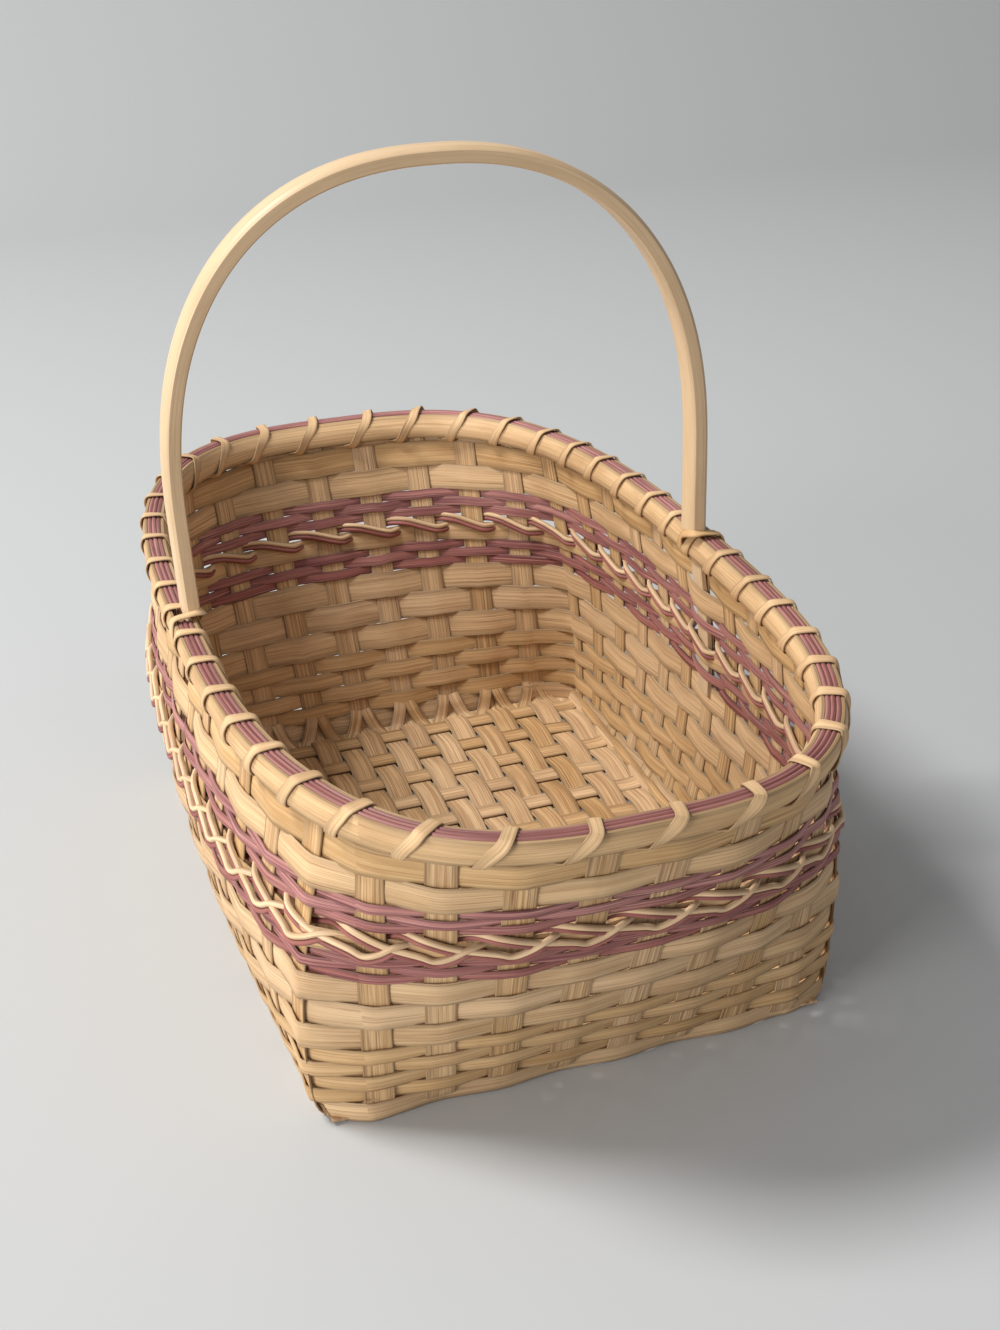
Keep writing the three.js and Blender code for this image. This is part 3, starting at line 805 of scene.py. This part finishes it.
@dataclass
class LashedRim:
    """The two rim hoops, the dyed reeds between them and the lashing over all."""

    wall: WallForm
    maker: ReedMaker
    outer_gap: float = 3.9
    inner_gap: float = 4.0
    hoop_edge: float = 2.0
    filler_rod: float = 2.75
    filler_margin: float = 0.33
    filler_stations: int = 90
    filler_offs: tuple[tuple[str, tuple[float, ...]], ...] = (
        ("outer", (2.6, 0.0)), ("inner", (-2.6,)),
    )
    middle_rise: float = 0.3
    wrap_stray: float = 0.035
    # Places along the rim of a wrap's stations, in uprights
    wrap_places: tuple[float, ...] = (0, 0.03, 0.14, 0.25, 0.29, 0.32, 0.35, 0.4, 0.54, 0.68, 0.74)
    leg_places: tuple[float, ...] = (
        0.5, 0.47, 0.43, 0.38, 0.35, 0.335, 0.33, 0.28, 0.12, -0.1, -0.25, -0.35, -0.4,
    )

    def ring(self, off: float, z: float, places: Array, closed: bool) -> Path:
        """A run round the rim at one distance from the wall's middle and one height."""
        middle, above = self.wall.point(places, z, off), self.wall.point(places, z + 1, off)
        return Path.through(middle, above - middle, closed, 4)

    def hoops(self) -> None:
        """The two hoops, flat on the wall's side and rounded on the other."""
        wall, s, edge = self.wall, self.wall.sizes, self.hoop_edge
        points = Section.flat(wall.rim_high - wall.rim_low, edge, s.rim_thick - edge).points
        places = np.arange(0, s.uprights, 0.5)
        for side, name, gap in ((1, "outer", self.outer_gap), (-1, "inner", self.inner_gap)):
            path = self.ring(side * (gap + edge / 2), wall.rim_z, places, True)
            strand = (path, Section([(a, b * side) for a, b in points]))
            node = f"{name}_rim_hoop"
            self.maker.piece(f"{node}_reed", [strand], Finish.NATURAL, (node,))

    def fillers(self) -> None:
        """The dyed reeds on top between the hoops, stopped at the handle."""
        wall, s, margin = self.wall, self.wall.sizes, self.filler_margin
        z = wall.rim_high - 0.35 * self.filler_rod
        section = Section.rod(self.filler_rod)
        for start, end in ((s.handle_right, "back"), (s.handle_left, "front")):
            last = start + s.uprights / 2 - margin
            places = np.linspace(start + margin, last, self.filler_stations)
            for side, offs in self.filler_offs:
                strands = [
                    (self.ring(off, z + self.middle_rise * (off == 0.0), places, False), section)
                    for off in offs
                ]
                name = f"rim_filler_{side}_{end}"
                self.maker.piece(f"{name}_reed", strands, Finish.DYED, (name,))

    def lashing(self) -> None:
        """One flat reed that wraps both hoops once to every upright, with a wrap at each leg."""
        wall, s = self.wall, self.wall.sizes
        half, high, mid = s.lash_thick / 2, wall.rim_high, wall.rim_z
        outer = self.outer_gap + s.rim_thick + half
        inner = -(self.inner_gap + s.rim_thick + half)
        top, low = high + self.filler_rod * 0.4 + half + 0.1, wall.rim_low - 0.6
        # Distance out and height: up outside, over the hoops or a leg, and down inside
        up = [(outer - 2.4, low - 0.2), (outer - 0.7, low + 2.0)]
        up += [(outer + 0.1, mid), (outer - 0.6, high - 2.2)]
        over = [(outer - 2.2, top - 0.7), (0.0, top), (inner + 2.2, top - 0.7)]
        over += [(inner + 0.6, high - 2.2), (inner - 0.1, mid)]
        over_leg = [(outer - 2.4, top + 0.2), (0.0, top + 1.4), (-6.0, top + 2.2)]
        over_leg += [(-10.2, top + 2.0), (-10.7, top + 0.4), (-10.7, high - 1.5), (-9.4, mid)]
        down = [(inner + 0.7, low + 2.0), (inner + 2.4, low - 0.2)]
        rows = []
        for k in range(s.uprights):
            at_leg = abs(k % (s.uprights // 2) - s.handle_right) < 2
            stray = 0.0 if at_leg else float(self.maker.rng.normal(0, self.wrap_stray))
            turn = zip(self.wrap_places, up + over + down)
            rows += [(k + 0.5 + stray + place, *spot) for place, spot in turn]
        section = Section.flat(s.lash_width, s.lash_thick, 0.12)
        strands = [(self.wrap(rows, True), section)]
        for leg, front in ((s.handle_right, -1), (s.handle_left, 1)):
            turn = zip(self.leg_places, up + over_leg + down)
            rows = [(leg + front * place, *spot) for place, spot in turn]
            strands.append((self.wrap(rows, False), section))
        self.maker.piece("rim_lashing_reed", strands, Finish.NATURAL, ("rim_lashing",))

    def wrap(self, rows: list[Triple], closed: bool) -> Path:
        """A flat reed's run round the rim, its face turned away from the rim's middle.

        Args:
            rows: Place, distance out and height of each station.
            closed: Whether the run is a ring.

        Returns:
            The path.
        """
        wall = self.wall
        place, off, z = np.array(rows).T
        place = place % wall.sizes.uprights
        middle = wall.point(place, z, off)
        away = unit(middle - wall.point(place, wall.rim_z, 0))
        return Path.through(middle, np.cross(away, travel(middle, closed)), closed, 3)

    def build(self) -> None:
        """Makes the rim."""
        self.hoops()
        self.fillers()
        self.lashing()


@dataclass
class HoopHandle:
    """The bent hoop: tails inside the wall, shoulders on the inner rim hoop and a high arch."""

    wall: WallForm
    maker: ReedMaker
    width: float = 19.0
    thick: float = 9.0
    half_span: float = 154.0
    spring_z: float = 261.0
    roundness: float = 2.3
    tail_width: float = 15.0
    tail_stop: float = 4.0
    tail_levels: int = 6
    stake_gap: float = 0.25
    shoulder_rise: float = 0.6
    arch_levels: int = 24

    def half_line(self, upright: int) -> tuple[list[tuple[float, float]], ...]:
        """Half the handle, from the tail up.

        Args:
            upright: The upright that the tail stands at.

        Returns:
            Distance from the middle and height at each station, of the tail and of the leg.
        """
        wall, s = self.wall, self.wall.sizes
        bottom, top = box_heights("handle")
        gap = s.stake_thick / 2 + self.stake_gap
        tail_off, leg_off = -(gap + s.tail_thick / 2), -(gap + self.thick / 2)
        levels = np.linspace(bottom, wall.rim_high - self.tail_stop, self.tail_levels)
        tail = [(abs(wall.point(upright, z, tail_off)[0]), z) for z in levels]
        shoulder = wall.rim_high + self.shoulder_rise
        leg = [(abs(wall.point(upright, shoulder, leg_off)[0]), shoulder)]
        spring_x = self.half_span - self.thick / 2
        rise = top - self.thick / 2 - self.spring_z
        power = 2 / self.roundness
        for t in np.linspace(0, math.pi / 2, self.arch_levels)[:-1]:
            x = spring_x * math.cos(t) ** power
            leg.append((x, self.spring_z + rise * math.sin(t) ** power))
        return tail, leg + [(0.0, self.spring_z + rise)]

    def run(self, rows: list[tuple[float, float]], steps: int) -> Path:
        """A smooth run in the handle's plane, through distances from the middle and heights."""
        middle = np.array([(x, 0.0, z) for x, z in rows])
        return Path.through(middle, np.tile([0.0, -1.0, 0.0], (len(rows), 1)), False, steps)

    def build(self) -> None:
        """Makes the handle."""
        s = self.wall.sizes
        right_tail, right_leg = self.half_line(s.handle_right)
        left_tail, left_leg = (
            [(-x, z) for x, z in reversed(part)] for part in self.half_line(s.handle_left)
        )
        bow = Section.bar(self.width, self.thick, bevel=2.4, arris=0.7)
        thin = Section.bar(self.tail_width, s.tail_thick, bevel=0.5, arris=0.3)
        strands = [(self.run(right_leg + left_leg[1:], 5), bow)]
        strands += [(self.run(tail, 3), thin) for tail in (right_tail, left_tail)]
        self.maker.piece("bent_handle", strands, Finish.HANDLE, ("handle",))


@dataclass(frozen=True)
class ReedLook:
    """Colours and surface of one kind of reed, with the roughness of its smoothest spots."""

    pale: Triple
    dark: Triple
    vein: Triple
    tone_gain: float
    # How far the reed's edges are darkened with painted shade
    painted_edge_shade: float
    roughness: float
    bump: float


LOOKS = {
    Finish.NATURAL: ReedLook(
        (0.68, 0.45, 0.235), (0.38, 0.21, 0.088), (0.14, 0.06, 0.025), 0.135, 0.42, 0.49, 0.6
    ),
    Finish.DYED: ReedLook(
        (0.42, 0.17, 0.145), (0.15, 0.042, 0.045), (0.62, 0.38, 0.30), 0.24, 0.42, 0.51, 0.6
    ),
    Finish.HANDLE: ReedLook(
        (0.64, 0.465, 0.29), (0.50, 0.345, 0.195), (0.36, 0.22, 0.11), 0.06, 0.06, 0.36, 0.12
    ),
}


@dataclass(frozen=True)
class Streaks:
    """Noise stretched along a reed: features per metre, and the values from which it shows."""

    across: float
    along: float
    roughness: float
    low: float
    high: float


STREAK = Streaks(900, 9, 0.6, 0.40, 0.66)
FIBRE = Streaks(1500, 14, 0.6, 0.56, 0.74)
BLOTCH = Streaks(60, 18, 0.55, 0.48, 0.95)


@dataclass
class Wiring:
    """Adds nodes to a shader tree."""

    tree: NodeTree

    def node(
        self, kind: str, inputs: dict[str | int, Source] | None = None, **settings: object
    ) -> Node:
        """One node, set and fed.

        Args:
            kind: The node's type, without its prefix.
            inputs: A socket or a plain value for each input, by its name or number.
            settings: The node's own properties.

        Returns:
            The node.
        """
        made = self.tree.nodes.new(f"ShaderNode{kind}")
        for name, value in settings.items():
            setattr(made, name, value)
        for key, value in (inputs or {}).items():
            if isinstance(value, NodeSocket):
                self.tree.links.new(value, made.inputs[key])
            else:
                made.inputs[key].default_value = value
        return made

    def maths(self, operation: str, *terms: Source) -> NodeSocket:
        """What a Math node makes of its terms."""
        return self.node("Math", dict(enumerate(terms)), operation=operation).outputs[0]

    def vector(self, operation: str, *terms: Source) -> NodeSocket:
        """What a Vector Math node makes of its terms."""
        return self.node("VectorMath", dict(enumerate(terms)), operation=operation).outputs[0]

    def shown(self, noise: NodeSocket, streaks: Streaks) -> NodeSocket:
        """Where a noise shows, from 0 for nowhere to 1."""
        limits = {"Value": noise, "From Min": streaks.low, "From Max": streaks.high}
        return self.node("MapRange", limits).outputs["Result"]

    def mixed(self, factor: Source, a: Source, b: Source) -> NodeSocket:
        """A colour between two others."""
        inputs = {"Factor": factor, "A": a, "B": b}
        return self.node("Mix", inputs, data_type="RGBA").outputs["Result"]


@dataclass
class ReedSurface:
    """The shader node group of lengthwise grain, and the materials that use it."""

    reed_shift: float = 7.3
    dark_saturation: float = 0.14
    fibre_roughness: float = 0.18
    fibre_height: float = 0.6
    bump_depth: float = 0.0004
    specular: float = 0.35
    inputs: tuple[tuple[str, str], ...] = (
        ("Pale", "Color"), ("Dark", "Color"), ("Vein", "Color"),
        ("Tone Gain", "Float"), ("Painted Edge Shade", "Float"), ("Roughness", "Float"),
    )
    outputs: tuple[tuple[str, str], ...] = (
        ("Color", "Color"), ("Roughness", "Float"), ("Height", "Float"),
    )

    def group(self) -> NodeTree:
        """Streaks, veins and blotches that follow a reed's length, with painted shade towards its
        edges.

        Returns:
            The node group, with colour, roughness and height outputs.
        """
        tree = bpy.data.node_groups.new("reed_grain", "ShaderNodeTree")
        for way, sockets in (("INPUT", self.inputs), ("OUTPUT", self.outputs)):
            for name, kind in sockets:
                tree.interface.new_socket(name, in_out=way, socket_type=f"NodeSocket{kind}")
        add = Wiring(tree)
        given = tree.nodes.new("NodeGroupInput").outputs
        out = tree.nodes.new("NodeGroupOutput").inputs
        uv = add.node("UVMap", uv_map="UVMap").outputs[0]
        tone, strength, edge = (
            add.node("Attribute", attribute_name=name).outputs["Fac"] for name in VERTEX_LAYERS
        )
        level = add.node("CombineXYZ", {"Z": tone}).outputs[0]
        shift = add.vector("MULTIPLY", level, (0, 0, self.reed_shift))

        def noise(streaks: Streaks) -> NodeSocket:
            """Noise along the reed, another for each tone.

            Args:
                streaks: How it is stretched.

            Returns:
                The noise.
            """
            scale = (streaks.across, streaks.along, 1)
            mapped = add.node("Mapping", {"Vector": uv, "Scale": scale}).outputs[0]
            inputs = {"Vector": add.vector("ADD", mapped, shift), "Scale": 1.0, "Detail": 3.0}
            inputs["Roughness"] = streaks.roughness
            return add.node("TexNoise", inputs).outputs["Fac"]

        streak, fibre, blotch = noise(STREAK), noise(FIBRE), noise(BLOTCH)
        streaked = add.maths("MULTIPLY", add.shown(streak, STREAK), strength)
        body = add.mixed(streaked, given["Pale"], given["Dark"])
        warm = add.mixed(add.shown(blotch, BLOTCH), body, given["Dark"])
        veins = add.maths("MULTIPLY", add.shown(fibre, FIBRE), strength)
        colour = add.mixed(veins, warm, given["Vein"])
        gain = add.maths("MULTIPLY_ADD", tone, given["Tone Gain"], 1.0)
        # Painted shade: the colour darkens towards the reed's edges, on top of its tone
        shade = add.maths("SUBTRACT", gain, add.maths("MULTIPLY", edge, given["Painted Edge Shade"]))
        strong = add.maths("MULTIPLY_ADD", tone, -self.dark_saturation, 1.0)
        toned = {"Value": shade, "Saturation": strong, "Color": colour}
        results = (
            add.node("HueSaturation", toned).outputs["Color"],
            add.maths("MULTIPLY_ADD", fibre, self.fibre_roughness, given["Roughness"]),
            add.maths("MULTIPLY_ADD", fibre, self.fibre_height, streak),
        )
        for (name, _), result in zip(self.outputs, results):
            tree.links.new(result, out[name])
        return tree

    def build(self) -> dict[Finish, Material]:
        """Makes the materials that wear the grain.

        Returns:
            A material for each finish.
        """
        group, made = self.group(), {}
        for finish, look in LOOKS.items():
            made[finish] = material = bpy.data.materials.new(finish.value)
            material.use_nodes = True
            tree = material.node_tree
            add, shader = Wiring(tree), tree.nodes["Principled BSDF"].inputs
            values = [(*colour, 1) for colour in (look.pale, look.dark, look.vein)]
            values += [look.tone_gain, look.painted_edge_shade, look.roughness]
            grain = add.node("Group", dict(enumerate(values)), node_tree=group).outputs
            relief = {"Strength": look.bump, "Distance": self.bump_depth, "Height": grain["Height"]}
            tree.links.new(grain["Color"], shader["Base Color"])
            tree.links.new(grain["Roughness"], shader["Roughness"])
            tree.links.new(add.node("Bump", relief).outputs["Normal"], shader["Normal"])
            shader["Specular IOR Level"].default_value = self.specular
        return made


@dataclass(frozen=True)
class Viewpoint:
    """Where the camera stands, in metres, its turns in radians and its picture in pixels."""

    place: Triple = (-0.2569, -0.9521, 0.6029)
    yaw: float = -0.3593
    pitch: float = 0.4565
    roll: float = -0.0181
    focal: float = 1863.5
    centre: tuple[float, float] = (621.6, 692.9)
    picture: tuple[int, int] = (1000, 1330)
    sensor: float = 36.0
    clip_start: float = 0.05


@dataclass(frozen=True)
class Lamp:
    """A square lamp: its place and size in metres and its power in watts."""

    name: str
    place: Triple
    size: float
    power: float


@dataclass
class Studio:
    """The floor, the lights and the camera."""

    view: Viewpoint = Viewpoint()
    lamps: tuple[Lamp, ...] = (
        Lamp("key_light", (-2.0, 0.7, 3.3), 1.2, 164.0),
        Lamp("fill_light", (-3.1, -1.5, 0.9), 1.6, 92.0),
    )
    aim: Triple = (0.0, 0.0, 0.1)
    sky: Triple = (0.94, 0.96, 1.0)
    sky_strength: float = 0.42
    paper: Triple = (0.44, 0.445, 0.44)
    paper_roughness: float = 0.9
    paper_reach: float = 5.0
    curve_start: float = 2.0
    curve_radius: float = 1.2
    curve_steps: int = 24

    def camera(self) -> None:
        """Sets the camera at the photograph's viewing angle."""
        v = self.view
        data = bpy.data.cameras.new("camera")
        data.sensor_fit = "HORIZONTAL"
        data.sensor_width = v.sensor
        data.lens = v.focal / v.picture[0] * v.sensor
        data.shift_x = (v.picture[0] / 2 - v.centre[0]) / v.picture[0]
        data.shift_y = (v.centre[1] - v.picture[1] / 2) / v.picture[0]
        data.clip_start = v.clip_start
        obj = scene_object("camera", data)
        aim = Matrix.Rotation(v.yaw, 4, "Z") @ Matrix.Rotation(math.pi / 2 - v.pitch, 4, "X")
        obj.matrix_world = Matrix.Translation(v.place) @ aim @ Matrix.Rotation(v.roll, 4, "Z")
        bpy.context.scene.camera = obj

    def floor(self) -> None:
        """Lays plain pale paper that curves up behind the basket."""
        radius, back = self.curve_radius, self.curve_start
        angles = np.linspace(0, math.pi / 2, self.curve_steps + 1)
        curve = [(back + radius * math.sin(a), radius * (1 - math.cos(a))) for a in angles]
        profile = [(-self.paper_reach, 0.0), *curve, (back + radius, self.paper_reach)]
        last = len(profile) - 1
        work = bmesh.new()
        made = bmesh.ops.create_grid(work, x_segments=1, y_segments=last, size=1.0)
        for vert in made["verts"]:
            y, z = profile[round((vert.co.y + 1) / 2 * last)]
            vert.co = (vert.co.x * self.paper_reach, y, z)
        bmesh.ops.recalc_face_normals(work, faces=work.faces[:])
        if work.faces[0].normal.z < 0:
            bmesh.ops.reverse_faces(work, faces=work.faces[:])
        for face in work.faces:
            face.smooth = True
        material = bpy.data.materials.new("floor_paper")
        material.use_nodes = True
        shader = material.node_tree.nodes["Principled BSDF"]
        shader.inputs["Base Color"].default_value = (*self.paper, 1)
        shader.inputs["Roughness"].default_value = self.paper_roughness
        obj = mesh_object("floor", work, material)

    def lights(self) -> None:
        """Hangs a soft key light at the left and a weak fill, under a pale sky."""
        for lamp in self.lamps:
            data = bpy.data.lights.new(lamp.name, "AREA")
            data.energy = lamp.power
            data.size = lamp.size
            obj = scene_object(lamp.name, data)
            obj.location = lamp.place
            x, y, z = np.subtract(self.aim, lamp.place)
            tilt, turn = math.atan2(math.hypot(x, y), -z), math.atan2(y, x) - math.pi / 2
            obj.rotation_euler = (tilt, 0.0, turn)
        world = bpy.data.worlds.new("studio")
        world.use_nodes = True
        background = world.node_tree.nodes["Background"]
        background.inputs["Color"].default_value = (*self.sky, 1)
        background.inputs["Strength"].default_value = self.sky_strength
        bpy.context.scene.world = world

    def build(self) -> None:
        """Sets the scene up."""
        self.camera()
        self.floor()
        self.lights()
        bpy.context.scene.view_settings.view_transform = "Standard"


def main() -> None:
    """Builds the basket piece by piece."""
    logging.basicConfig(level=logging.INFO, format="%(name)s: %(message)s")
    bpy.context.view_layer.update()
    Studio().build()
    maker = ReedMaker(ReedSurface().build())
    wall = WallForm(ReedSizes())
    WovenBase(wall, maker).build()
    WovenWall(wall, maker).build()
    LashedRim(wall, maker).build()
    HoopHandle(wall, maker).build()


if __name__ == "__main__":
    main()
